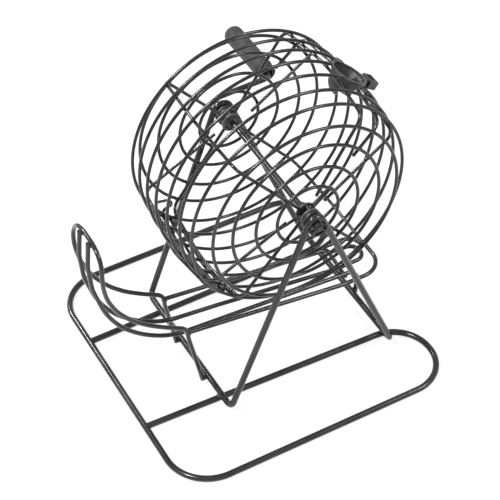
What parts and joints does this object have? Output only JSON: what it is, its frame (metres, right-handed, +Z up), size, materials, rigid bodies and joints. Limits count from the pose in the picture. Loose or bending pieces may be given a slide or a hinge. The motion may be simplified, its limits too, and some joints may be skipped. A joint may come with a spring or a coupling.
{
  "type": "raffle drum",
  "caption": "Wire drum on a bent wire stand, turned by a crank with a free turning grip, with a wire ball track under it and a plastic exit cup for single balls",
  "frame": {"origin": "On the table, below the middle of the drum: X = 0 and Y = 0 is the drum's middle, Z = 0 is the table", "axes": "+Z up; the drum's shaft runs along Y with the crank at +Y; the track's upturned hoop is at -X"},
  "size_m": [0.2782, 0.2968, 0.292],
  "materials": {
    "black_wire": "satin",
    "black_plastic": "satin",
    "black_grip": "satin"
  },
  "bodies": {
    "stand": {"base_wire": "black_wire", "leg_wire": "black_wire", "track_hoop": "black_wire", "track_front_rail": "black_wire", "track_rear_rail": "black_wire", "track_front_floor": "black_wire", "track_rear_floor": "black_wire", "front_bearing": "black_plastic", "rear_bearing": "black_plastic"},
    "drum": {"shaft_and_crank": "black_wire", "front_hub": "black_plastic", "rear_hub": "black_plastic", "front_end_rings": "black_wire", "rear_end_rings": "black_wire", "shoulder_rings": "black_wire", "second_wall_rings": "black_wire", "middle_rings": "black_wire", "hub_to_hub_wires": "black_wire", "cup_side_wires": "black_wire", "cup_line_wires": "black_wire", "loading_side_wire": "black_wire", "exit_cup": "black_plastic"},
    "grip": {"grip": "black_grip"}
  },
  "joints": [
    {"name": "drum_turn", "type": "hinge", "parent": "stand", "child": "drum", "pos_m": [0, 0, 0.1905], "axis": [0, 1, 0], "continuous": true},
    {"name": "grip_spin", "type": "hinge", "parent": "drum", "child": "grip", "pos_m": [0.05549, 0.1315, 0.19147], "axis": [0, 1, 0], "continuous": true}
  ]
}
